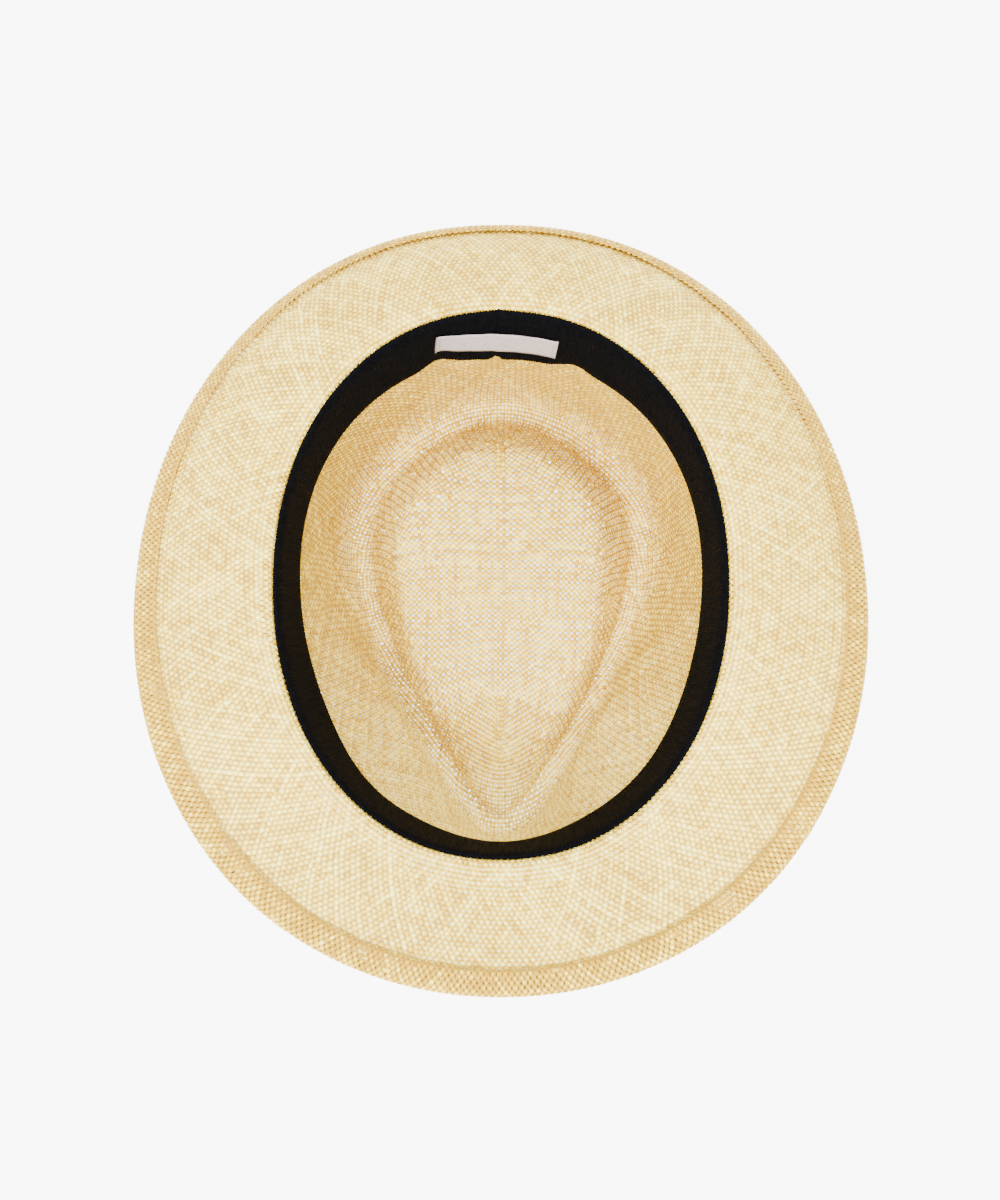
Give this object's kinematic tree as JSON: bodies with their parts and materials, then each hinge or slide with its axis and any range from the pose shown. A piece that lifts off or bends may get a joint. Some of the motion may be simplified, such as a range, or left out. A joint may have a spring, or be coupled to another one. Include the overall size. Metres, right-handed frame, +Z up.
{
  "type": "fedora",
  "caption": "Woven straw fedora with a teardrop crown pinched at the front, a folded brim edge, a black ribbon sweatband inside and a black outer band with a flat bow.",
  "frame": {"origin": "under the middle of the hat's box, at the height of the crown's ridge, which the upturned hat lies on", "axes": "+Z up, out of the head opening; -Y toward the front of the hat; -X toward the wearer's left"},
  "size_m": [0.2724, 0.2952, 0.124],
  "materials": {
    "straw": "matt woven straw",
    "black_ribbon": "ribbed grosgrain",
    "pale_ribbon": "woven tape"
  },
  "bodies": {
    "root": {"hat_body": "straw", "sweatband": "black_ribbon", "size_label": "pale_ribbon", "hatband": "black_ribbon", "bow": "black_ribbon"}
  },
  "joints": []
}
